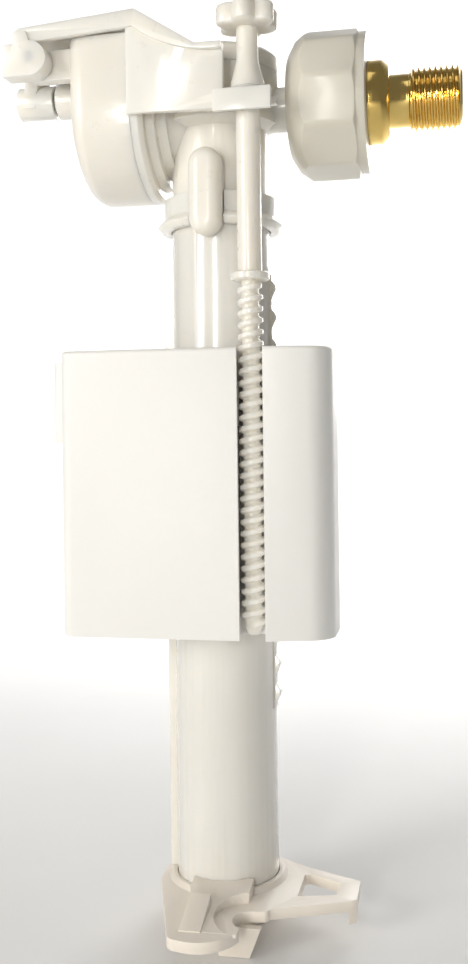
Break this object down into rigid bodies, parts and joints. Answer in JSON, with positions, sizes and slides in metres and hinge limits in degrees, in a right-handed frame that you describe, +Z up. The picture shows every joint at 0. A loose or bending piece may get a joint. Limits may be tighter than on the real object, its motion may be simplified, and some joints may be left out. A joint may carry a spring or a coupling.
{
  "type": "toilet fill valve",
  "caption": "Side-inlet cistern fill valve: float on a tall tube lifts a screw spindle and lever that shut a diaphragm valve behind a brass threaded inlet.",
  "frame": {"origin": "on the tube's axis at the foot's underside, where the water leaves", "axes": "+Z up the tube, +X from the tube towards the threaded inlet, -Y the side with the adjusting spindle"},
  "size_m": [0.1522, 0.0846, 0.3026],
  "materials": {
    "natural_plastic": "milky natural acetal, glossy",
    "nut_plastic": "milky white nylon, satin gloss",
    "tube_plastic": "translucent polypropylene, glossy",
    "white_plastic": "opaque white, smooth",
    "foot_plastic": "cream opaque plastic, satin",
    "black_rubber": "soft black rubber",
    "brass": "bright machined brass",
    "steel": "drawn stainless wire",
    "strainer_plastic": "fine moulded nylon"
  },
  "bodies": {
    "valve": {"foot": "foot_plastic", "outer_tube": "tube_plastic", "tube_collar": "natural_plastic", "tube_o_ring": "black_rubber", "inner_downpipe": "tube_plastic", "head_body": "natural_plastic", "head_cover": "natural_plastic", "vent_flap": "black_rubber", "diaphragm_cap": "natural_plastic", "lever_pivot_pin": "steel", "diaphragm": "black_rubber", "bleed_pin": "steel", "brass_tail": "brass", "tail_washer": "black_rubber", "flow_restrictor": "white_plastic", "inlet_strainer": "strainer_plastic"},
    "lever": {"lever": "natural_plastic", "pilot_seal": "black_rubber"},
    "spindle_bush": {"spindle_bush": "natural_plastic"},
    "spindle": {"adjusting_spindle": "natural_plastic"},
    "float": {"float_shell": "white_plastic", "float_base": "white_plastic", "float_nut": "natural_plastic"},
    "union_nut": {"union_nut": "nut_plastic"},
    "diaphragm_plate": {"diaphragm_insert": "white_plastic"}
  },
  "joints": [
    {"name": "float_rise", "type": "slide", "parent": "valve", "child": "spindle_bush", "axis": [0, 0, 1], "range_m": [0, 0.005]},
    {"name": "lever_hinge", "type": "hinge", "parent": "valve", "child": "lever", "pos_m": [-0.0565, 0, 0.29], "axis": [0, -1, 0], "range_deg": [0, 4.01]},
    {"name": "spindle_turn", "type": "hinge", "parent": "spindle_bush", "child": "spindle", "pos_m": [0.015, -0.027, 0.273], "axis": [0, 0, 1], "range_deg": [-5450, 1558]},
    {"name": "float_adjust", "type": "slide", "parent": "spindle_bush", "child": "float", "axis": [0, 0, 1], "range_m": [-0.056, 0.016]},
    {"name": "union_nut_turn", "type": "hinge", "parent": "valve", "child": "union_nut", "pos_m": [0.038, 0, 0.2765], "axis": [1, 0, 0], "continuous": true},
    {"name": "diaphragm_lift", "type": "slide", "parent": "valve", "child": "diaphragm_plate", "axis": [-1, 0, 0], "range_m": [0, 0.002]}
  ],
  "couplings": [
    {"joint": "lever_hinge", "follows": "float_rise", "rad_per_m": 13.986},
    {"joint": "spindle_turn", "follows": "float_adjust", "rad_per_m": 1698.2}
  ]
}
